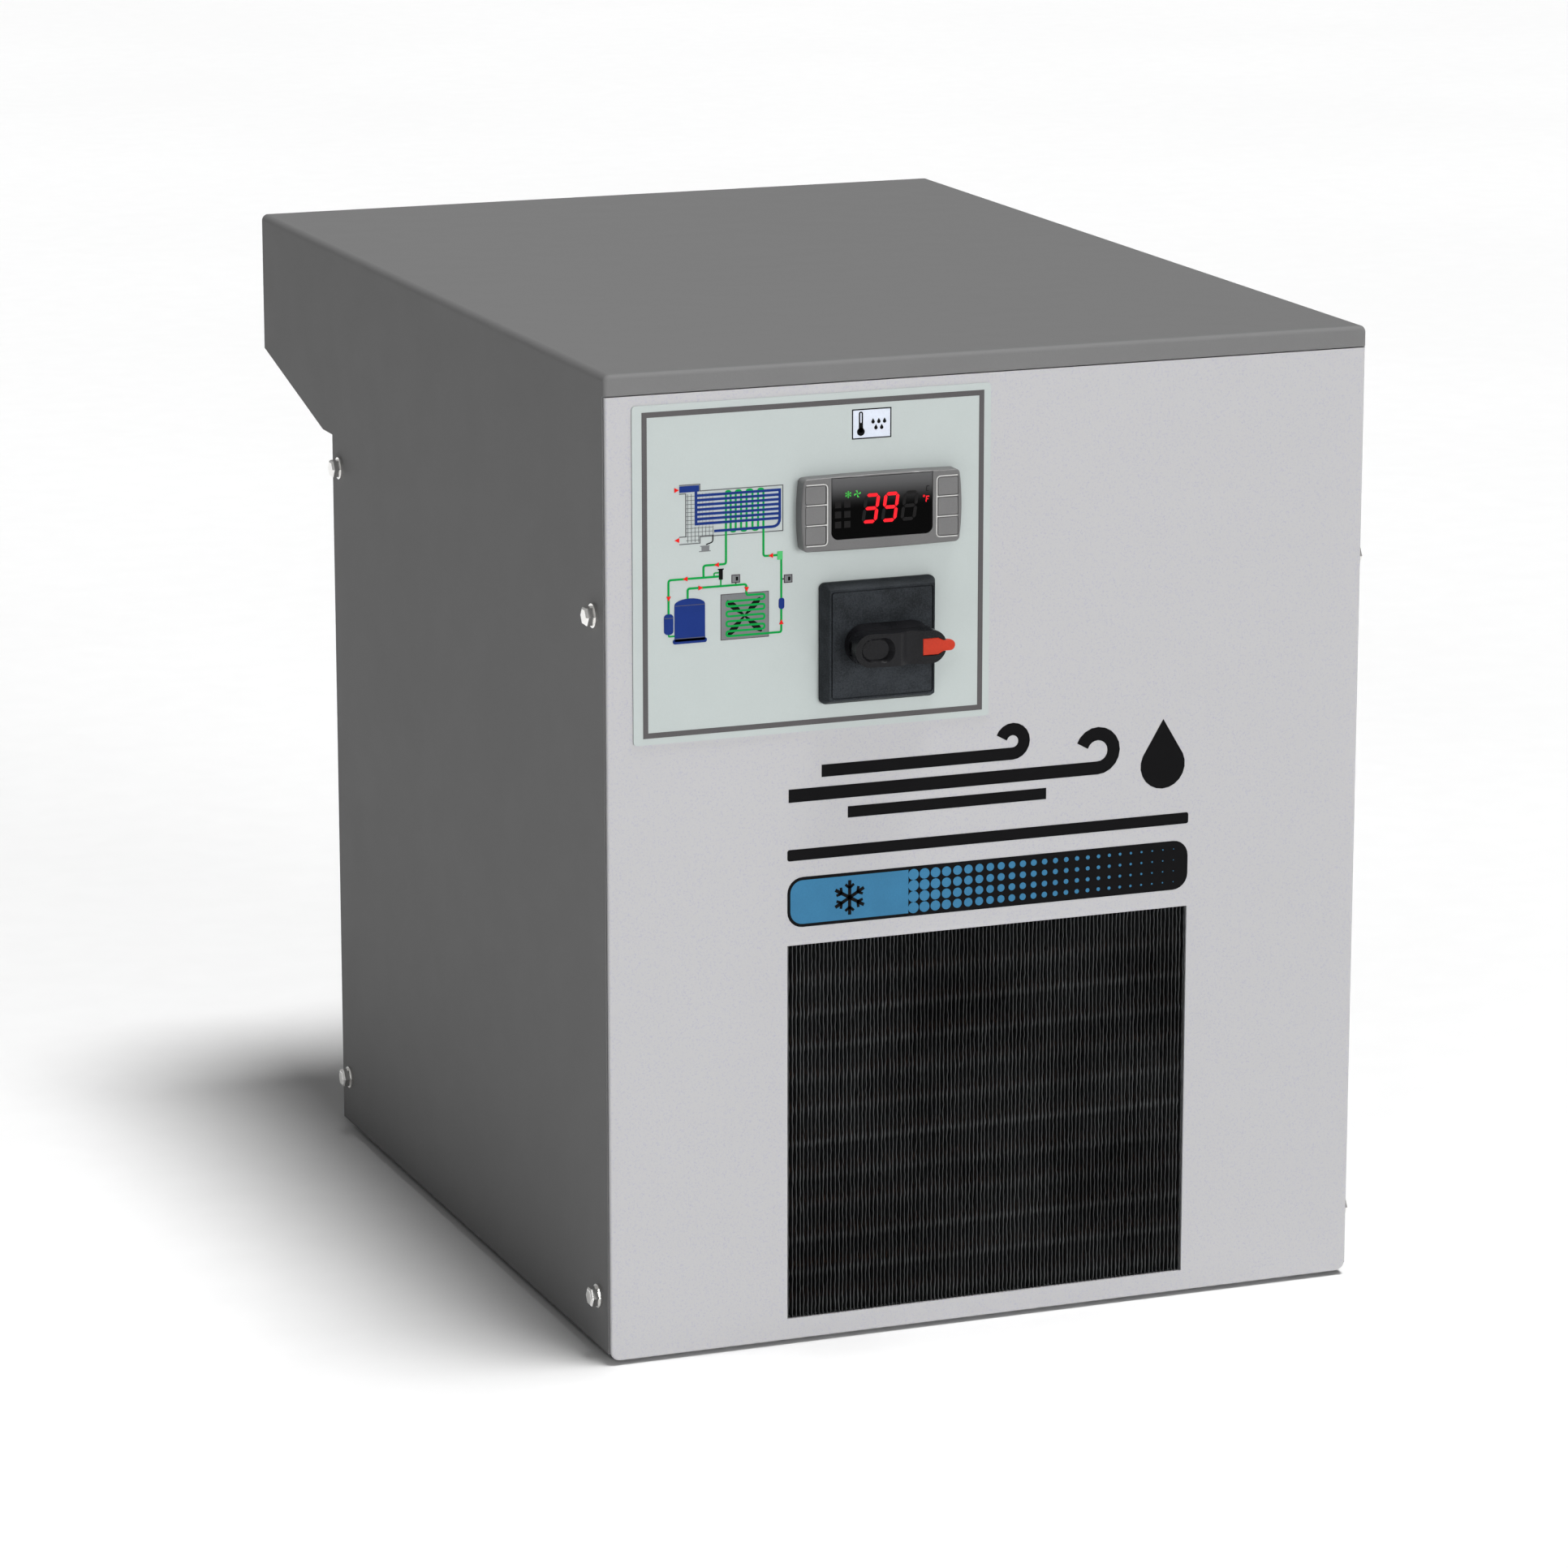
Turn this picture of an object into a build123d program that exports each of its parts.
"""Refrigerated air dryer with a front control panel, millimetres, +Z up, front face towards -Y."""
from build123d import *
import os
from math import cos, pi, sin

os.makedirs("parts", exist_ok=True)

# ---------------------------------------------------------------- driving dimensions
width = 350.0           # casing, left to right
depth = 492.0           # front face to the rear of the overhang
height = 429.5          # floor to the top of the hood
sheet = 1.5             # casing steel
play = 0.3              # clearance between casing sheets
handle_reach = 24.0     # how far the switch handle stands out of the front face
foot_drop = 2.0         # the feet stand this far below the front panel
seat = 0.02             # hairline gap between parts that rest on each other

front = (handle_reach - depth) / 2      # y of the front face: the whole object is centred on y = 0
rear = front + depth                    # y of the rear of the overhang
back = front + 382.0                    # y of the lower body's rear face
half = width / 2

lip = 9.0               # hood's front lip
skirt = 5.0             # lower edge of the hood's sides
ledge_z = 340.0         # underside of the overhang where it leaves the body
ledge_y = back + 15.0   # end of the flat ledge
slope_z = 364.2         # underside of the overhang at its rear
bend = 3.0              # outside radius of the bent sheets

screw_ys = (front + 13.0, back - 12.0)      # hood screws along the depth
screw_zs = (28.0, 326.0)                    # hood screws up the side
screw_spots = [(y, z) for y in screw_ys for z in screw_zs]
flange = 22.5           # depth of the panels' side flanges, which take the hood screws

control_x = -53.6       # common centre line of the controller and the main switch
controller_z = 365.6
switch_z = 309.3

vent_z = 94.9           # centre height of the condenser opening
vent_w, vent_h = 187.0, 167.0

pan_z = 8.0             # underside of the base pan
floor_z = pan_z + sheet
pan_front = front + 16.0
pan_back = back - sheet - play
rivet_ys = (pan_front + 6.5, back - 12.0)   # screws that join the pan to the panels' flanges
rivet_z = 16.0
coil_half = 112.0       # half width taken by the condenser and its return bends


def save(piece, name):
    """Label a finished piece and write it out."""
    piece.part.label = name
    export_step(piece.part, f"parts/{name}.step")


def front_plane(inset=0.0):
    """Drawing plane facing the viewer, inset behind the front face."""
    return Plane.XZ.offset(-front - inset)


def back_plane(outset=0.0):
    """Drawing plane looking out of the lower rear face, its x running to the left side."""
    return Plane(origin=(0, back + outset, 0), x_dir=(-1, 0, 0), z_dir=(0, 1, 0))


def side_plane(side, x):
    """Drawing plane looking out of one side (-1 left, 1 right), its x running along side * Y."""
    return Plane(origin=(side * x, 0, 0), x_dir=(0, side, 0), z_dir=(side, 0, 0))


def level(z):
    """Level drawing plane at height z."""
    return Plane.XY.offset(z)


def pipe(points, radius, bend_radius):
    """Round bar along straight runs joined by tangent arcs, added to the open part."""
    with BuildLine() as route:
        FilletPolyline(*points, radius=bend_radius)
    run = route.wire()
    with BuildSketch(Plane(origin=run @ 0, z_dir=run % 0)) as section:
        Circle(radius)
    sweep(section.sketch, path=run)


# ================================================================ casing
side_outline = [
    (front + sheet + play, skirt),
    (back, skirt),
    (back, ledge_z),
    (ledge_y, ledge_z),
    (rear, slope_z),
    (rear, height),
    (front, height),
    (front, height - lip),
    (front + sheet + play, height - lip),
]

with BuildPart() as hood:
    with BuildSketch(Plane.YZ):
        with BuildLine():
            Polyline(*side_outline, close=True)
        make_face()
    extrude(amount=half, both=True)
    fillet(hood.edges().filter_by(Axis.Y).group_by(Axis.Z)[-1], bend)
    fillet(hood.edges().filter_by(Axis.X).group_by(Axis.Z)[-1].sort_by(Axis.Y)[0], bend - 1)
    inside_height = height - sheet
    with BuildSketch(front_plane(sheet)) as inside:
        with Locations((0, inside_height / 2)):
            Rectangle(width - 2 * sheet, inside_height)
        fillet(inside.vertices().group_by(Axis.Y)[-1], bend - sheet)
    extrude(amount=-depth, mode=Mode.SUBTRACT)
    with BuildSketch(Plane.YZ):
        with Locations(*screw_spots):
            Circle(2.75)
    extrude(amount=width, both=True, mode=Mode.SUBTRACT)
save(hood, "hood")

panel_low = foot_drop
panel_top = height - lip - 0.5
panel_half = half - 0.6
flange_x = half - sheet - play          # outer face of the panels' side flanges
controller_cut = (69.0, 27.6)
switch_hole = 11.5
plate_x, plate_z = -82.2, 343.8         # control plate centre
plate_w, plate_h = 161.2, 144.0

with BuildPart() as front_panel:
    with BuildSketch(front_plane()) as face_sheet:
        with Locations((0, (panel_low + panel_top) / 2)):
            Rectangle(2 * panel_half, panel_top - panel_low)
        fillet(face_sheet.vertices().group_by(Axis.Y)[0], 4.5)
        with Locations((0, vent_z)):
            Rectangle(vent_w, vent_h, mode=Mode.SUBTRACT)
        with Locations((control_x, controller_z)):
            Rectangle(*controller_cut, mode=Mode.SUBTRACT)
        with Locations((control_x, switch_z)):
            Circle(switch_hole, mode=Mode.SUBTRACT)
    extrude(amount=-sheet)
    rim = front_panel.edges().filter_by(Axis.Z).group_by(Axis.Y)[0]
    fillet([rim.sort_by(Axis.X)[0], rim.sort_by(Axis.X)[-1]], 1.0)
    with BuildSketch(front_plane(sheet)):
        for side in (-1, 1):
            with Locations((side * (flange_x - sheet / 2), (panel_top + 5) / 2)):
                Rectangle(sheet, panel_top - 11)
    extrude(amount=-flange)
    with BuildSketch(front_plane(sheet)):
        with Locations((0, panel_top - sheet / 2)):
            Rectangle(2 * flange_x, sheet)
        with Locations((0, panel_low + 2 + sheet / 2)):
            Rectangle(2 * flange_x - 20, sheet)
    extrude(amount=-12)
    with BuildSketch(Plane.YZ):
        with Locations(*[(screw_ys[0], z) for z in screw_zs]):
            Circle(2.55)
        with Locations((rivet_ys[0], rivet_z)):
            Circle(2.1)
    extrude(amount=width, both=True, mode=Mode.SUBTRACT)
save(front_panel, "front_panel")

port_xs = (48.0, 124.0)                 # air inlet and outlet, side by side
port_z = 292.0
drain_x, drain_z = 96.0, 44.0
gland_x, gland_z = -132.0, 58.0
port_hole, drain_hole, gland_hole = 14.0, 6.4, 8.3
slot_w, slot_h = 60.0, 5.0

with BuildPart() as rear_panel:
    with BuildSketch(back_plane()):
        with Locations((0, (floor_z + ledge_z - play) / 2)):
            Rectangle(2 * flange_x, ledge_z - play - floor_z)
    extrude(amount=-sheet)
    with BuildSketch(back_plane(-sheet)):
        for side in (-1, 1):
            with Locations((side * (flange_x - sheet / 2), 171.5)):
                Rectangle(sheet, 323)
    extrude(amount=-flange + sheet)
    with BuildSketch(back_plane(1)):
        with Locations(*[(-x, port_z) for x in port_xs]):
            Circle(port_hole)
        with Locations((-drain_x, drain_z)):
            Circle(drain_hole)
        with Locations((-gland_x, gland_z)):
            Circle(gland_hole)
        with Locations((78, 190)):
            with GridLocations(74, 12, 2, 13):
                SlotOverall(slot_w, slot_h)
    extrude(amount=-sheet - 2, mode=Mode.SUBTRACT)
    with BuildSketch(Plane.YZ):
        with Locations(*[(screw_ys[1], z) for z in screw_zs]):
            Circle(2.55)
        with Locations((rivet_ys[1], rivet_z)):
            Circle(2.1)
    extrude(amount=width, both=True, mode=Mode.SUBTRACT)
save(rear_panel, "rear_panel")

overhang_top = height - sheet - 4 * play
overhang_outline = [
    (back - sheet - play, ledge_z - 5.5),
    (back - sheet - play, ledge_z),
    (ledge_y, ledge_z),
    (rear, slope_z),
    (rear, overhang_top),
    (rear - 16, overhang_top),
]

with BuildPart() as overhang_panel:
    with BuildSketch(Plane.YZ):
        with BuildLine():
            Polyline(*overhang_outline)
            offset(amount=sheet, side=Side.LEFT)
        make_face()
    extrude(amount=flange_x, both=True)
save(overhang_panel, "overhang_panel")

pan_half = flange_x - sheet - play
pan_mid = (pan_front + pan_back) / 2
pan_wall = 24.0
foot_spots = [(x, y) for x in (-138.0, 138.0) for y in (front + 50.0, back - 28.0)]
anchor_mid = front + 206.0
anchor_dx, anchor_dy = 322.0, 200.0

with BuildPart() as base_pan:
    with Locations((0, pan_mid, (pan_z + pan_wall) / 2)):
        Box(2 * pan_half, pan_back - pan_front, pan_wall - pan_z)
    fillet(base_pan.edges().group_by(Axis.Z)[0], bend - 1)
    with Locations((0, pan_mid, floor_z + pan_wall / 2)):
        Box(2 * (pan_half - sheet), pan_back - pan_front - 2 * sheet, pan_wall, mode=Mode.SUBTRACT)
    with BuildSketch(level(pan_z - 1)):
        with Locations(*foot_spots):
            Circle(3.3)
        with Locations((0, anchor_mid)):
            with GridLocations(anchor_dx, anchor_dy, 2, 2):
                Circle(3.5)
    extrude(amount=4, mode=Mode.SUBTRACT)
    with BuildSketch(Plane.YZ):
        with Locations(*[(y, rivet_z) for y in rivet_ys]):
            Circle(2.1)
    extrude(amount=width, both=True, mode=Mode.SUBTRACT)
    # the front wall is cut away where the condenser stands
    with Locations((0, pan_front, floor_z + pan_wall / 2)):
        Box(2 * coil_half, 4 * sheet, pan_wall, mode=Mode.SUBTRACT)
save(base_pan, "base_pan")

with BuildPart() as rubber_feet:
    with BuildSketch(level(0)):
        with Locations(*foot_spots):
            Circle(14)
    extrude(amount=pan_z)
    chamfer(rubber_feet.edges().group_by(Axis.Z)[0], 1.2)
    with BuildSketch(level(pan_z)):
        with Locations(*foot_spots):
            Circle(3)
    extrude(amount=sheet + 0.05)
    # push-in bulb above the pan
    with BuildSketch(level(floor_z + 0.05)):
        with Locations(*foot_spots):
            Circle(4.6)
    extrude(amount=6, taper=20)
save(rubber_feet, "rubber_feet")


with BuildPart() as hood_screws:
    for side in (-1, 1):
        head = side_plane(side, half + seat)
        spots = [(side * y, z) for y, z in screw_spots]
        with BuildSketch(head):
            with Locations(*spots):
                Circle(5.2)
        extrude(amount=1.2)
        with BuildSketch(head):
            with Locations(*spots):
                RegularPolygon(4.4, 6)
        extrude(amount=5.0)
        fillet(hood_screws.edges().group_by(Axis.X)[-1 if side > 0 else 0], 1.2)
        with BuildSketch(head):
            with Locations(*spots):
                Circle(2.4)
        extrude(amount=-14)
save(hood_screws, "hood_screws")

with BuildPart() as pan_screws:
    for side in (-1, 1):
        inner = side_plane(side, pan_half - sheet - seat)
        spots = [(side * y, rivet_z) for y in rivet_ys]
        with BuildSketch(inner):
            with Locations(*spots):
                Circle(1.9)
        extrude(amount=2 * sheet + play)
        with BuildSketch(inner):
            with Locations(*spots):
                Circle(3.9)
        extrude(amount=-2.4)
save(pan_screws, "pan_screws")

# ================================================================ control plate and controller
plate_t = 0.6                           # thickness of the printed plate

with BuildPart() as control_plate:
    with BuildSketch(front_plane(-seat)) as overlay:
        with Locations((plate_x, plate_z)):
            RectangleRounded(plate_w, plate_h, 1.5)
        with Locations((control_x, controller_z)):
            Rectangle(*controller_cut, mode=Mode.SUBTRACT)
        with Locations((control_x, switch_z)):
            Circle(switch_hole, mode=Mode.SUBTRACT)
    extrude(amount=plate_t)
save(control_plate, "control_plate")

bezel_w, bezel_h, bezel_t = 72.8, 31.9, 6.5
bezel_back = -plate_t - 2 * seat        # the bezel's rear face sits on the control plate
bezel_face = bezel_back - bezel_t
window_w, window_h = 45.6, 26.0
window_rise = 2.1                       # the window sits this much above the bezel's middle
display_w, display_h = 36.0, 18.0
key_x, key_pitch = 30.0, 8.6            # key columns left and right of the window
key_w, key_h, key_gap = 9.2, 7.8, 0.15   # the gap runs around each key
key_spots = [(side * key_x, row * key_pitch) for side in (-1, 1) for row in (1, 0, -1)]


def bowed_outline(w, h, side_bow, end_bow):
    """Rectangle with its left and right sides bulging by side_bow and the others by end_bow, in the open sketch."""
    a, b = w / 2 - side_bow, h / 2 - end_bow
    with BuildLine() as outline:
        ThreePointArc((-a, -b), (0, -h / 2), (a, -b))
        ThreePointArc((a, -b), (w / 2, 0), (a, b))
        ThreePointArc((a, b), (0, h / 2), (-a, b))
        ThreePointArc((-a, b), (-w / 2, 0), (-a, -b))
    make_face(outline.edges())


control_spot = Location((control_x, controller_z, 0))
bezel_plane = front_plane(bezel_back) * control_spot
window_plane = front_plane(bezel_face) * control_spot

with BuildPart() as controller_bezel:
    with BuildSketch(bezel_plane) as outline:
        bowed_outline(bezel_w, bezel_h, 1.1, 0.45)
        fillet(outline.vertices(), 2.2)
    extrude(amount=bezel_t)
    fillet(controller_bezel.edges().group_by(Axis.Y)[0], 0.9)
    with BuildSketch(window_plane) as window_cut:
        with Locations((0, window_rise)):
            Rectangle(window_w + 0.4, window_h + 0.4)
        fillet(window_cut.vertices().group_by(Axis.Y)[0], 3.2)
    extrude(amount=-3.2, mode=Mode.SUBTRACT)
    with BuildSketch(window_plane):
        with Locations(*key_spots):
            RectangleRounded(key_w + 2 * key_gap, key_h + 2 * key_gap, 0.9)
    extrude(amount=-3.2, mode=Mode.SUBTRACT)
    with BuildSketch(window_plane):
        with Locations(*key_spots):
            Circle(1.6)
        Rectangle(display_w + 2, display_h + 2)
    extrude(amount=-bezel_t - 1, mode=Mode.SUBTRACT)
save(controller_bezel, "controller_bezel")

with BuildPart() as controller_window:
    with BuildSketch(window_plane) as pane:
        with Locations((0, window_rise)):
            Rectangle(window_w, window_h)
        fillet(pane.vertices().group_by(Axis.Y)[0], 3.0)
    extrude(amount=-3.0)
    fillet(controller_window.edges().group_by(Axis.Y)[0], 0.4)
save(controller_window, "controller_window")

with BuildPart() as display_module:
    with BuildSketch(front_plane(bezel_face + 3.3) * control_spot):
        Rectangle(display_w, display_h)
    extrude(amount=-3.0)
save(display_module, "display_module")

for number, (x, z) in enumerate(key_spots, start=1):
    with BuildPart() as key:
        with BuildSketch(window_plane):
            with Locations((x, z)):
                RectangleRounded(key_w, key_h, 0.75)
        extrude(amount=-1.6)
        fillet(key.edges().group_by(Axis.Y)[0], 0.35)
        with BuildSketch(front_plane(bezel_face + 1.6) * control_spot):
            with Locations((x, z)):
                Circle(1.3)
        extrude(amount=-4.0)
    save(key, f"key_{number}")

with BuildPart() as controller_body:
    with BuildSketch(front_plane(-plate_t) * control_spot):
        Rectangle(controller_cut[0] - 0.6, controller_cut[1] - 0.6)
    extrude(amount=-58)
    fillet(controller_body.edges().filter_by(Axis.Y), 1.5)
    with BuildSketch(front_plane(57.4) * control_spot):
        with Locations((0, 5)):
            Rectangle(58, 9)
    extrude(amount=-8)
save(controller_body, "controller_body")

# ================================================================ main switch
base_side, base_t = 52.2, 7.2
base_back = -plate_t - 2 * seat
base_face = base_back - base_t
shaft_r = 3.9
switch_spot = Location((control_x, switch_z, 0))

with BuildPart() as switch_base:
    with BuildSketch(front_plane(base_back) * switch_spot):
        RectangleRounded(base_side, base_side, 2.6)
    extrude(amount=base_t)
    chamfer(switch_base.edges().group_by(Axis.Y)[0], base_t - 2.0, 2.2)
    with BuildSketch(front_plane(base_face) * switch_spot):
        RectangleRounded(base_side - 5.8, base_side - 5.8, 1.4)
        RectangleRounded(base_side - 7.0, base_side - 7.0, 1.0, mode=Mode.SUBTRACT)
    extrude(amount=-0.7, mode=Mode.SUBTRACT)
    with BuildSketch(front_plane(base_face) * switch_spot):
        Circle(shaft_r + 0.06)
    extrude(amount=-base_t - 1, mode=Mode.SUBTRACT)
save(switch_base, "switch_base")

grip_gap = 0.3                          # running gap between the handle and the base
grip_face = -handle_reach
grip_back = base_face - grip_gap
grip_w = 14.2
grip_left, grip_right = -18.2, 23.0     # ends of the grip from the turning axis
crest_x, valley_x, plateau_x = 1.8, 6.6, 9.4
plateau_drop = 0.7                      # the pointer end lies this much below the crest
pointer_start, pointer_neck, pointer_tip = 12.1, 21.5, 26.8
pointer_half, neck_half = 3.6, 2.3      # half widths of the pointer and of its tip
neck_taper = 2.4                        # length over which it narrows
pointer_gap = 0.15                      # clearance around it in the handle
handle_level = Plane(origin=(control_x, 0, switch_z), x_dir=(1, 0, 0), z_dir=(0, 0, 1))

with BuildPart() as switch_handle:
    # wider root, tucked in under both ends of the grip
    with BuildSketch(front_plane(grip_back) * switch_spot):
        with Locations((2.2, 0)):
            SlotOverall(39, 17.4)
    extrude(amount=8.5, taper=10)
    with BuildSketch(front_plane(grip_back - 5) * switch_spot):
        with Locations(((grip_left + grip_right) / 2, 0)):
            SlotOverall(grip_right - grip_left, grip_w)
    extrude(amount=grip_back - 5 - grip_face)
    # rolling front: low thumb end, raised bridge, valley and pointer end
    with BuildSketch(handle_level):
        with BuildLine():
            roll = Spline(
                (grip_left - 2, front + grip_face + 1.1),
                (-6, front + grip_face + 0.8),
                (crest_x, front + grip_face),
                (valley_x, front + grip_face + 2.3),
                (plateau_x + 1.2, front + grip_face + plateau_drop),
                (grip_right + 2, front + grip_face + plateau_drop + 0.1),
                tangents=((1, 0), (1, 0)),
            )
            Polyline(roll @ 1, (grip_right + 2, front + grip_face - 3), (grip_left - 2, front + grip_face - 3),
                     roll @ 0)
        make_face()
    extrude(amount=grip_w, both=True, mode=Mode.SUBTRACT)
    # soft thumb hollow in the left half of the grip
    with BuildSketch(front_plane(grip_face) * switch_spot):
        with Locations((-8.4, 0)):
            SlotOverall(15.4, 11.8)
    extrude(amount=-2.9, taper=32, mode=Mode.SUBTRACT)
    # pocket that follows the pointer insert
    with BuildSketch(front_plane(grip_face) * switch_spot):
        wide, narrow = pointer_half + pointer_gap, neck_half + pointer_gap
        Polygon(
            (pointer_start - pointer_gap, -wide),
            (pointer_neck - neck_taper, -wide),
            (pointer_neck, -narrow),
            (pointer_tip, -narrow),
            (pointer_tip, narrow),
            (pointer_neck, narrow),
            (pointer_neck - neck_taper, wide),
            (pointer_start - pointer_gap, wide),
            align=None,
        )
    extrude(amount=-3.1, mode=Mode.SUBTRACT)
    # padlock window in the left end
    with BuildSketch(Plane.YZ.offset(control_x + grip_left - 2)):
        with Locations((front + grip_back - 6.6, switch_z)):
            RectangleRounded(6.0, 6.0, 1.2)
    extrude(amount=7.5, mode=Mode.SUBTRACT)
save(switch_handle, "switch_handle")

with BuildPart() as switch_pointer:
    with BuildSketch(front_plane(grip_face + 3.0) * switch_spot) as arrow:
        with BuildLine():
            Polyline(
                (pointer_start, -pointer_half),
                (pointer_neck - neck_taper, -pointer_half),
                (pointer_neck, -neck_half),
                (pointer_tip - neck_half, -neck_half),
            )
            ThreePointArc((pointer_tip - neck_half, -neck_half), (pointer_tip, 0), (pointer_tip - neck_half, neck_half))
            Polyline(
                (pointer_tip - neck_half, neck_half),
                (pointer_neck, neck_half),
                (pointer_neck - neck_taper, pointer_half),
                (pointer_start, pointer_half),
                (pointer_start, -pointer_half),
            )
        make_face()
    extrude(amount=2.5)
    fillet(switch_pointer.edges().group_by(Axis.Y)[0], 0.3)
save(switch_pointer, "switch_pointer")

with BuildPart() as switch_shaft:
    with BuildSketch(front_plane(grip_back + 0.01) * switch_spot):
        Circle(shaft_r)
    extrude(amount=grip_back - 12)
save(switch_shaft, "switch_shaft")

with BuildPart() as switch_body:
    with BuildSketch(front_plane(sheet + 0.05) * switch_spot):
        RectangleRounded(48, 48, 3)
    extrude(amount=-44)
    with BuildSketch(front_plane(sheet + 12) * switch_spot):
        for side in (-1, 1):
            with Locations((0, side * 17)):
                Rectangle(60, 8)
    extrude(amount=-14)
    with BuildSketch(front_plane(0) * switch_spot):
        Circle(shaft_r + 0.06)
    extrude(amount=-13.5, mode=Mode.SUBTRACT)
save(switch_body, "switch_body")

# ================================================================ condenser and fan
tube_pitch, tube_rows = 14.4, 11
tube_r = 3.5
tube_z0 = 17.9                          # lowest tube
tube_zs = [tube_z0 + tube_pitch * row for row in range(tube_rows)]
tube_ys = (front + 12.0, front + 30.0)  # two rows of tubes, one behind the other
core_front, core_back = front + 0.6, front + 40.0
plate_in = vent_w / 2 + 0.2             # inner face of the end plates
plate_thick = 1.2
bend_x = plate_in + plate_thick + 3.0   # where the return bends start

with BuildPart() as condenser_fins:
    with Locations((0, (core_front + core_back) / 2, vent_z)):
        Box(vent_w - 0.8, core_back - core_front, vent_h - 0.6)
    with BuildSketch(Plane.YZ):
        with Locations(*[(y, z) for y in tube_ys for z in tube_zs]):
            Circle(tube_r + 0.05)
    extrude(amount=width, both=True, mode=Mode.SUBTRACT)
save(condenser_fins, "condenser_fins")

serpentine = []
for column, y in enumerate(tube_ys):
    order = tube_zs if column == 0 else tube_zs[::-1]
    for row, z in enumerate(order):
        ends = (-1, 1) if (row + column) % 2 == 0 else (1, -1)
        serpentine += [(side * (bend_x + tube_pitch / 2), y, z) for side in ends]

with BuildPart() as condenser_tubes:
    pipe(serpentine, tube_r, tube_pitch / 2 - 0.05)
save(condenser_tubes, "condenser_tubes")

with BuildPart() as condenser_plates:
    for side in (-1, 1):
        with Locations((side * (plate_in + plate_thick / 2), front + 24, vent_z)):
            Box(plate_thick, 44, vent_h + 3)
    with BuildSketch(Plane.YZ):
        with Locations(*[(y, z) for y in tube_ys for z in tube_zs]):
            Circle(tube_r + 0.05)
    extrude(amount=width, both=True, mode=Mode.SUBTRACT)
save(condenser_plates, "condenser_plates")

shroud_front = front + 46.3
shroud_back = shroud_front + 24.0
fan_r = 74.0
fan_y = shroud_back + 6.0               # middle of the fan blades
motor_front = shroud_back + 22.0
shroud_w, shroud_h = vent_w + 4, vent_h + 3.4

with BuildPart() as fan_shroud:
    with Locations((0, (shroud_front + shroud_back) / 2, vent_z)):
        Box(shroud_w, shroud_back - shroud_front, shroud_h)
    fillet(fan_shroud.edges().group_by(Axis.Y)[-1], 4)
    with Locations((0, (shroud_front + shroud_back) / 2 - 1.2, vent_z)):
        Box(shroud_w - 2.4, shroud_back - shroud_front, shroud_h - 2.4, mode=Mode.SUBTRACT)
    with BuildSketch(Plane.XZ.offset(-shroud_back + 1.2)):
        with Locations((0, vent_z)):
            Circle(fan_r + 4.2)
    extrude(amount=-14)
    with BuildSketch(Plane.XZ.offset(-shroud_back + 2.4)):
        with Locations((0, vent_z)):
            Circle(fan_r + 3)
    extrude(amount=-30, mode=Mode.SUBTRACT)
save(fan_shroud, "fan_shroud")

fan_plane = Plane(origin=(0, fan_y, vent_z), x_dir=(1, 0, 0), z_dir=(0, 1, 0))
blade_count = 5
blade_root, blade_tip = 19.0, fan_r - 1.0

with BuildPart() as fan_blade:
    with BuildSketch(fan_plane.offset(-8)):
        Circle(22)
    extrude(amount=16)
    fillet(fan_blade.edges().group_by(Axis.Y)[0], 3)
    for number in range(blade_count):
        turn = 2 * pi * number / blade_count
        out = Vector(cos(turn), 0, sin(turn))
        along = Vector(-sin(turn), 0, cos(turn))
        for reach, chord, pitch in ((blade_root, 26.0, 40.0), (blade_tip, 56.0, 20.0)):
            lean = pitch * pi / 180
            chord_dir = along * cos(lean) + Vector(0, 1, 0) * sin(lean)
            centre = Vector(0, fan_y, vent_z) + out * reach
            with BuildSketch(Plane(origin=centre, x_dir=chord_dir, z_dir=out)):
                SlotOverall(chord, 1.6)
        loft()
    with BuildSketch(fan_plane.offset(-20)):
        Circle(fan_r)
    extrude(amount=40, mode=Mode.INTERSECT)
    with BuildSketch(fan_plane.offset(-10)):
        Circle(2.05)
    extrude(amount=30, mode=Mode.SUBTRACT)
save(fan_blade, "fan_blade")

with BuildPart() as fan_motor:
    with BuildSketch(Plane.XZ.offset(-motor_front)):
        with Locations((0, vent_z)):
            Circle(37)
    extrude(amount=-44)
    fillet(fan_motor.edges().filter_by(GeomType.CIRCLE), 5)
    with BuildSketch(Plane.XZ.offset(-motor_front)):
        with Locations((0, vent_z)):
            Circle(9)
    extrude(amount=4)
save(fan_motor, "fan_motor")

with BuildPart() as fan_shaft:
    with BuildSketch(Plane.XZ.offset(-fan_y + 9)):
        with Locations((0, vent_z)):
            Circle(2)
    extrude(amount=-(motor_front - 4.3 - fan_y + 9))
save(fan_shaft, "fan_shaft")

with BuildPart() as fan_bracket:
    with BuildSketch(Plane.XZ.offset(-motor_front - 2)):
        with Locations((0, vent_z)):
            Circle(40)
            Circle(37.05, mode=Mode.SUBTRACT)
    extrude(amount=-16)
    for number in range(4):
        turn = pi / 4 + number * pi / 2
        inner = (38.5 * cos(turn), motor_front + 6, vent_z + 38.5 * sin(turn))
        outer = (92 * cos(turn), motor_front + 6, vent_z + 92 * sin(turn))
        foot = (92 * cos(turn), shroud_back + 0.05, vent_z + 92 * sin(turn))
        pipe([inner, outer, foot], 2.5, 7)
save(fan_bracket, "fan_bracket")

# ================================================================ compressor
comp_x, comp_y = -72.0, front + 268.0
shell_r, shell_low, shell_top = 72.0, 25.0, 190.0
comp_dx, comp_dy = 122.0, 96.0
comp_spots = [(comp_x + sx * comp_dx / 2, comp_y + sy * comp_dy / 2) for sx in (-1, 1) for sy in (-1, 1)]

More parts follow.
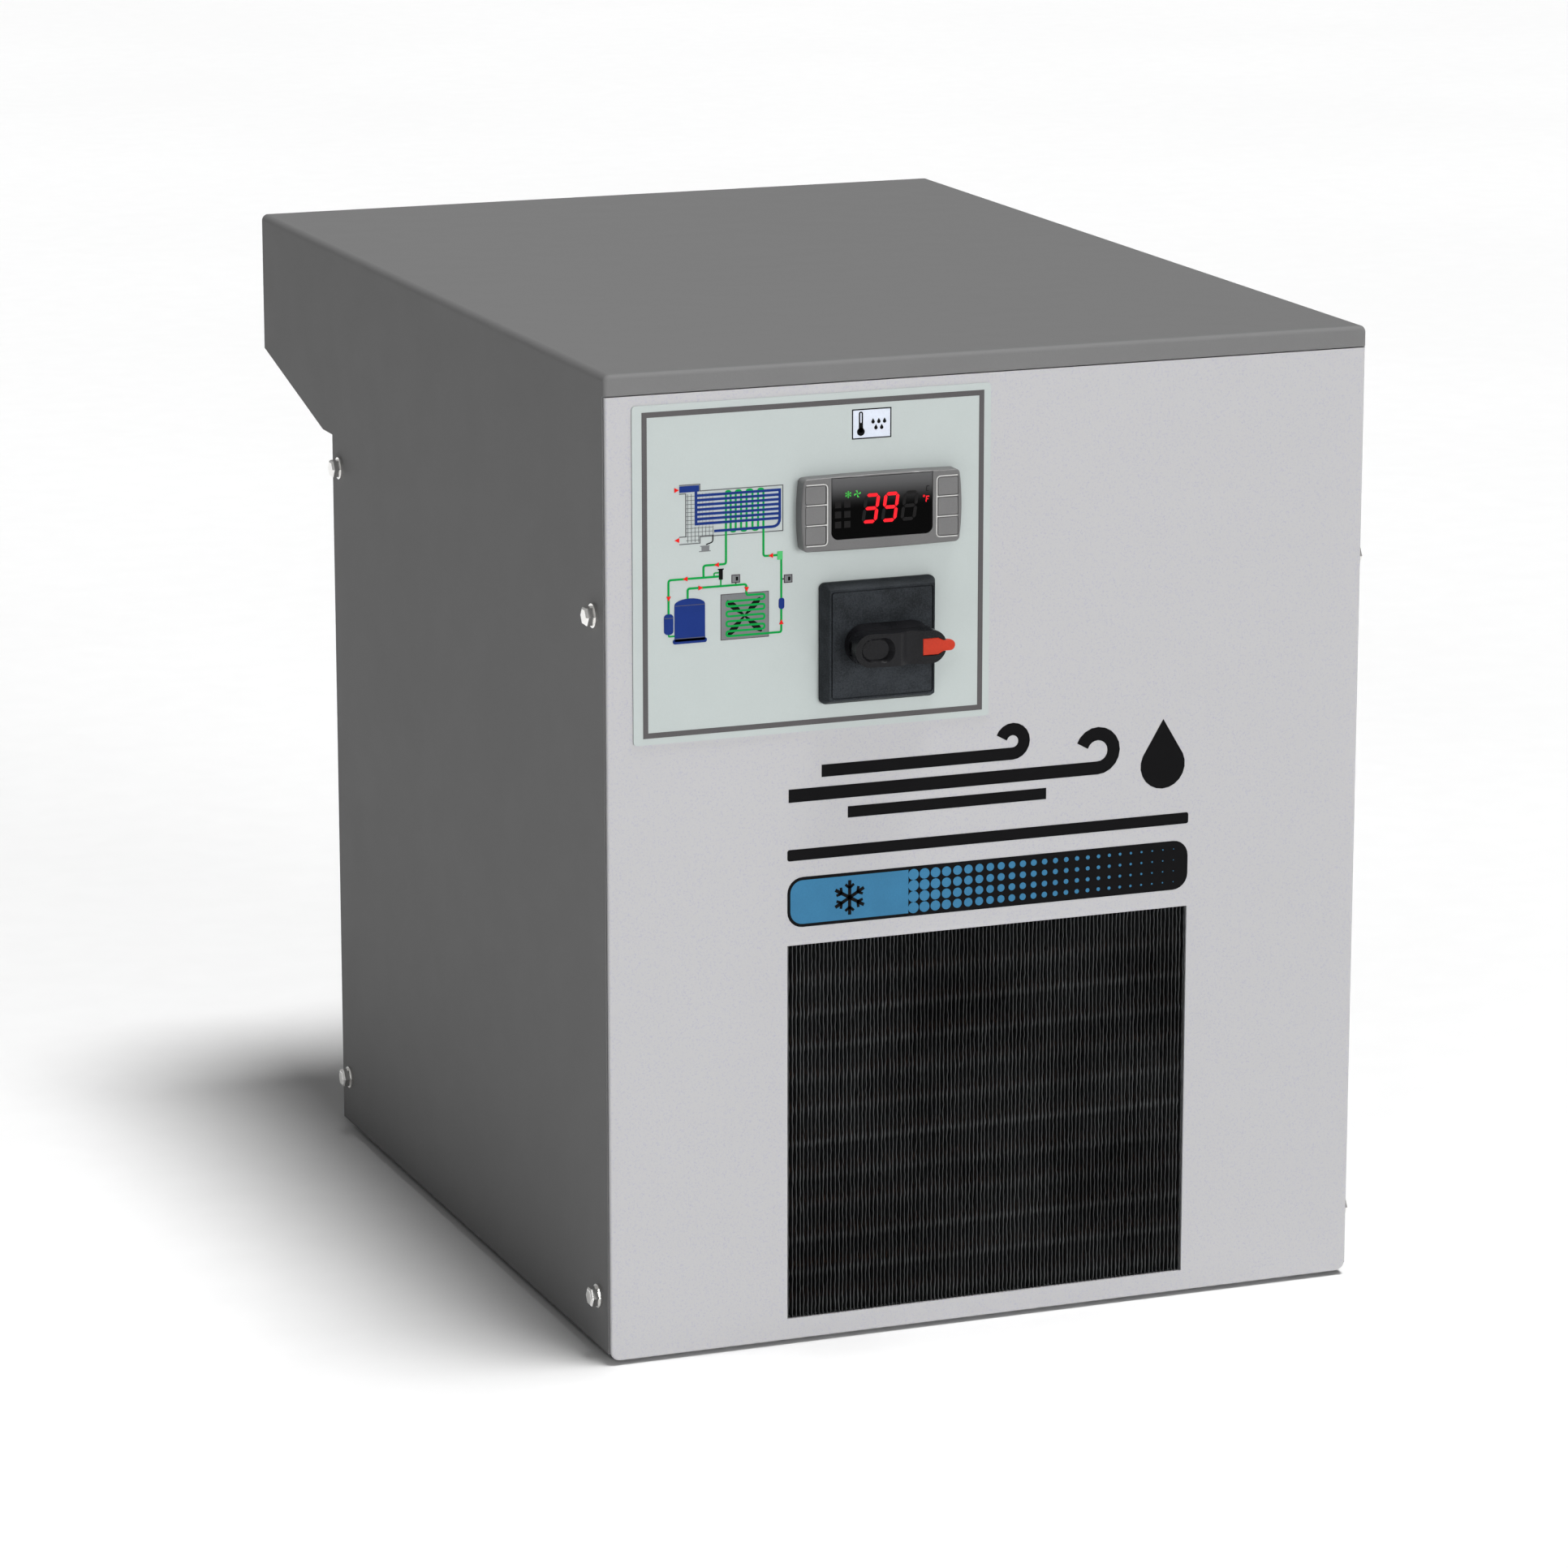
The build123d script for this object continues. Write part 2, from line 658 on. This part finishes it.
with BuildPart() as compressor_feet:
    with BuildSketch(level(shell_low - 3)):
        with Locations((comp_x, comp_y)):
            RectangleRounded(comp_dx + 26, comp_dy + 26, 12)
        with Locations(*comp_spots):
            Circle(6.2, mode=Mode.SUBTRACT)
    extrude(amount=3)
save(compressor_feet, "compressor_feet")

with BuildPart() as compressor_grommets:
    for low, tall, radius in ((floor_z, shell_low - 3 - floor_z, 11), (shell_low, 4, 9)):
        with BuildSketch(level(low)):
            with Locations(*comp_spots):
                Circle(radius)
                Circle(4.1, mode=Mode.SUBTRACT)
        extrude(amount=tall)
    with BuildSketch(level(floor_z)):
        with Locations(*comp_spots):
            Circle(6.1)
            Circle(4.1, mode=Mode.SUBTRACT)
    extrude(amount=shell_low - floor_z)
save(compressor_grommets, "compressor_grommets")

with BuildPart() as compressor_bolts:
    with BuildSketch(level(floor_z)):
        with Locations(*comp_spots):
            Circle(4)
    extrude(amount=shell_low + 4.02 - floor_z)
    with BuildSketch(level(shell_low + 4.02)):
        with Locations(*comp_spots):
            RegularPolygon(6, 6)
    extrude(amount=5)
save(compressor_bolts, "compressor_bolts")

with BuildPart() as compressor_shell:
    with BuildSketch(Plane(origin=(comp_x, comp_y, 0), x_dir=(1, 0, 0), z_dir=(0, -1, 0))) as section:
        with BuildLine():
            Polyline((0, shell_top), (0, shell_low), (shell_r - 22, shell_low))
            RadiusArc((shell_r - 22, shell_low), (shell_r, shell_low + 26), -30)
            Line((shell_r, shell_low + 26), (shell_r, shell_top - 48))
            RadiusArc((shell_r, shell_top - 48), (0, shell_top), -78)
        make_face()
    revolve(axis=Axis((comp_x, comp_y, 0), (0, 0, 1)))
    seam_z = shell_top - 62
    with BuildSketch(level(seam_z)):
        with Locations((comp_x, comp_y)):
            Circle(shell_r + 2.5)
    extrude(amount=4)
save(compressor_shell, "compressor_shell")

with BuildPart() as terminal_cover:
    with Locations((comp_x + 14, comp_y + shell_r + 2, 78)):
        Box(52, 34, 46)
    fillet(terminal_cover.edges().filter_by(Axis.Z), 4)
    with BuildSketch(level(20)):
        with Locations((comp_x, comp_y)):
            Circle(shell_r + 0.3)
    extrude(amount=100, mode=Mode.SUBTRACT)
save(terminal_cover, "terminal_cover")

accu_x, accu_y = -130.0, front + 158.0
accu_low, accu_top = 34.0, 140.0

with BuildPart() as suction_accumulator:
    with BuildSketch(level(accu_low)):
        with Locations((accu_x, accu_y)):
            Circle(21)
    extrude(amount=accu_top - accu_low)
    fillet(suction_accumulator.edges().filter_by(GeomType.CIRCLE), 12)
save(suction_accumulator, "suction_accumulator")

with BuildPart() as start_capacitor:
    with BuildSketch(Plane(origin=(-150, 0, 262), x_dir=(0, 1, 0), z_dir=(1, 0, 0))):
        with Locations((front + 62, 0)):
            Circle(16)
    extrude(amount=58)
    fillet(start_capacitor.edges().filter_by(GeomType.CIRCLE), 2)
save(start_capacitor, "start_capacitor")

tray_top = 245.9
with BuildPart() as electrics_tray:
    with Locations((-91, front + 71, tray_top - sheet / 2)):
        Box(154, 94, sheet)
    for side in (-1, 1):
        with Locations((-91 + side * (77 - sheet / 2), front + 71, tray_top - 8)):
            Box(sheet, 94, 16)
save(electrics_tray, "electrics_tray")

with BuildPart() as terminal_block:
    with Locations((-62, front + 98, tray_top + 13)):
        Box(70, 26, 26)
    with BuildSketch(level(tray_top + 26)):
        with Locations((-62, front + 98)):
            with GridLocations(10, 14, 6, 2):
                Circle(2.6)
    extrude(amount=-6, mode=Mode.SUBTRACT)
save(terminal_block, "terminal_block")

# ================================================================ air side
hx_x, hx_y = 86.0, front + 302.0
hx_w, hx_d = 132.0, 104.0
hx_low, hx_top = 96.0, 334.0
hx_rear = hx_y + hx_d / 2

with BuildPart() as heat_exchanger:
    with Locations((hx_x, hx_y, (hx_low + hx_top) / 2)):
        Box(hx_w, hx_d, hx_top - hx_low)
    fillet(heat_exchanger.edges(), 7)
save(heat_exchanger, "heat_exchanger")

with BuildPart() as exchanger_stand:
    with Locations((hx_x, hx_y, hx_low - 1.3)):
        Box(hx_w - 8, hx_d - 8, 2)
    for side in (-1, 1):
        with Locations((hx_x + side * (hx_w / 2 - 5), hx_y, (floor_z + hx_low) / 2 - 1)):
            Box(2, hx_d - 8, hx_low - floor_z - 2)
    with BuildSketch(level(hx_low - 5)):
        with Locations((drain_x, hx_y + 16)):
            Circle(9)
    extrude(amount=8, mode=Mode.SUBTRACT)
save(exchanger_stand, "exchanger_stand")


def air_port(x):
    """Male three-quarter inch pipe end standing out of the rear face, fed from the exchanger."""
    with BuildPart() as port:
        with BuildSketch(back_plane(hx_rear - back + 0.05)):
            with Locations((-x, port_z)):
                Circle(12.2)
        extrude(amount=back - hx_rear + 4)
        with BuildSketch(back_plane(0.05)):
            with Locations((-x, port_z)):
                RegularPolygon(19.6, 6)
        extrude(amount=9)
        chamfer(port.edges().filter_by(Plane.XZ).group_by(Axis.Y)[-1], 1.0)
        with BuildSketch(back_plane(9)):
            with Locations((-x, port_z)):
                Circle(13.2)
        extrude(amount=18)
        chamfer(port.edges().group_by(Axis.Y)[-1], 1.0)
        with BuildSketch(back_plane(28)):
            with Locations((-x, port_z)):
                Circle(9.5)
        extrude(amount=-back + hx_rear - 27.5, mode=Mode.SUBTRACT)
    return port


save(air_port(port_xs[0]), "air_inlet_port")
save(air_port(port_xs[1]), "air_outlet_port")

with BuildPart() as port_nuts:
    with BuildSketch(back_plane(-sheet - 0.05)):
        with Locations(*[(-x, port_z) for x in port_xs]):
            RegularPolygon(18, 6)
            Circle(12.3, mode=Mode.SUBTRACT)
    extrude(amount=-5)
save(port_nuts, "port_nuts")

valve_y = hx_y + 16.0
with BuildPart() as drain_valve:
    with BuildSketch(level(34)):
        with Locations((drain_x, valve_y)):
            Rectangle(26, 26)
    extrude(amount=24)
    chamfer(drain_valve.edges().filter_by(Axis.Z), 2)
    with BuildSketch(level(58)):
        with Locations((drain_x, valve_y)):
            Circle(8)
    extrude(amount=hx_low - 58)
save(drain_valve, "drain_valve")

with BuildPart() as drain_coil:
    with Locations((drain_x - 31, valve_y, 46)):
        Box(35.8, 30, 38)
    fillet(drain_coil.edges().filter_by(Axis.X), 4)
save(drain_coil, "drain_coil")

with BuildPart() as drain_hose:
    with BuildSketch(Plane.XZ.offset(-(valve_y + 13.05))):
        with Locations((drain_x, drain_z)):
            Circle(4)
    extrude(amount=-(back - 14.1 - valve_y - 13.05))
save(drain_hose, "drain_hose")

with BuildPart() as drain_fitting:
    with BuildSketch(back_plane(-14)):
        with Locations((-drain_x, drain_z)):
            Circle(6.3)
    extrude(amount=16)
    with BuildSketch(back_plane(0.05)):
        with Locations((-drain_x, drain_z)):
            RegularPolygon(9, 6)
    extrude(amount=5)
    with BuildSketch(back_plane(4)):
        with Locations((-drain_x, drain_z)):
            Circle(7)
    extrude(amount=14)
    with BuildSketch(back_plane(20)):
        with Locations((-drain_x, drain_z)):
            Circle(4.05)
    extrude(amount=-18, mode=Mode.SUBTRACT)
save(drain_fitting, "drain_fitting")

with BuildPart() as cable_gland:
    with BuildSketch(back_plane(-9)):
        with Locations((-gland_x, gland_z)):
            Circle(8.1)
    extrude(amount=12)
    with BuildSketch(back_plane(0.05)):
        with Locations((-gland_x, gland_z)):
            RegularPolygon(12, 6)
    extrude(amount=6)
    with BuildSketch(back_plane(6)):
        with Locations((-gland_x, gland_z)):
            Circle(10.4)
    extrude(amount=14)
    fillet(cable_gland.edges().group_by(Axis.Y)[-1], 4)
    with BuildSketch(back_plane(21)):
        with Locations((-gland_x, gland_z)):
            Circle(4.5)
    extrude(amount=-32, mode=Mode.SUBTRACT)
save(cable_gland, "cable_gland")

with BuildPart() as rating_plate:
    with BuildSketch(back_plane(0.02)):
        with Locations((-86, 196)):
            RectangleRounded(92, 62, 3)
    extrude(amount=0.6)
save(rating_plate, "rating_plate")

# ================================================================ refrigerant pipes and fittings
line_r = 4.0
tube_end = bend_x + tube_pitch / 2       # both condenser connections are on the left, at the bottom
run_y, run_z = front + 84.0, 200.0      # discharge run above the fan

with BuildPart() as discharge_pipe:
    pipe(
        [
            (comp_x + 30, comp_y - 30, shell_top - 9),
            (comp_x + 30, comp_y - 30, run_z),
            (comp_x + 30, run_y, run_z),
            (-tube_end - 22, run_y, run_z),
            (-tube_end - 22, tube_ys[1], run_z),
            (-tube_end - 22, tube_ys[1], tube_z0),
            (-tube_end - 0.05, tube_ys[1], tube_z0),
        ],
        line_r,
        12,
    )
save(discharge_pipe, "discharge_pipe")

drier_x, drier_y = -156.0, back - 34.0
with BuildPart() as filter_drier:
    with BuildSketch(level(118)):
        with Locations((drier_x, drier_y)):
            Circle(4.6)
    extrude(amount=12)
    with BuildSketch(level(130)):
        with Locations((drier_x, drier_y)):
            Circle(11)
    extrude(amount=78)
    with BuildSketch(level(208)):
        with Locations((drier_x, drier_y)):
            Circle(4.6)
    extrude(amount=12)
save(filter_drier, "filter_drier")

with BuildPart() as liquid_pipe:
    pipe(
        [
            (-tube_end - 0.05, tube_ys[0], tube_z0),
            (drier_x, tube_ys[0], tube_z0),
            (drier_x, tube_ys[0], 60),
            (drier_x, drier_y, 60),
            (drier_x, drier_y, 117.95),
        ],
        3.2,
        5,
    )
save(liquid_pipe, "liquid_pipe")

coil_turns, coil_r, coil_wire = 5, 22.0, 1.5
with BuildPart() as capillary_coil:
    with BuildLine():
        Helix(pitch=2 * coil_wire + 1.2, height=coil_turns * (2 * coil_wire + 1.2), radius=coil_r,
              center=(drier_x + coil_r, drier_y - 30, 232))
    with BuildSketch(Plane(origin=(drier_x + 2 * coil_r, drier_y - 30, 232), z_dir=(0, 1, 0))):
        Circle(coil_wire)
    sweep(is_frenet=True)
save(capillary_coil, "capillary_coil")

with BuildPart() as suction_pipe:
    pipe(
        [
            (hx_x - 20, hx_y, hx_top + 0.05),
            (hx_x - 20, hx_y, 362),
            (accu_x, hx_y, 362),
            (accu_x, accu_y, 362),
            (accu_x, accu_y, accu_top + 0.05),
        ],
        line_r,
        16,
    )
save(suction_pipe, "suction_pipe")

valve_x, gas_y, gas_z = -24.0, back - 40.0, 262.0
with BuildPart() as hot_gas_valve:
    with BuildSketch(level(gas_z)):
        with Locations((valve_x, gas_y)):
            Circle(11)
    extrude(amount=36)
    with BuildSketch(level(gas_z + 36)):
        with Locations((valve_x, gas_y)):
            Circle(15)
    extrude(amount=16)
    fillet(hot_gas_valve.edges().group_by(Axis.Z)[-1], 3)
    with BuildSketch(level(gas_z - 8)):
        with Locations((valve_x, gas_y)):
            RegularPolygon(9, 6)
    extrude(amount=8)
save(hot_gas_valve, "hot_gas_valve")

with BuildPart() as bypass_pipe:
    with BuildSketch(Plane(origin=(valve_x + 11.05, gas_y, gas_z + 14), z_dir=(1, 0, 0))):
        Circle(3.2)
    extrude(amount=hx_x - hx_w / 2 - 0.05 - valve_x - 11.05)
save(bypass_pipe, "bypass_pipe")

with BuildPart() as pressure_switches:
    for x in (-68.0, -104.0):
        with BuildSketch(level(run_z + line_r + 0.05)):
            with Locations((x, run_y)):
                Circle(5)
        extrude(amount=4)
        with BuildSketch(level(run_z + line_r + 4.05)):
            with Locations((x, run_y)):
                Circle(11)
        extrude(amount=18)
save(pressure_switches, "pressure_switches")
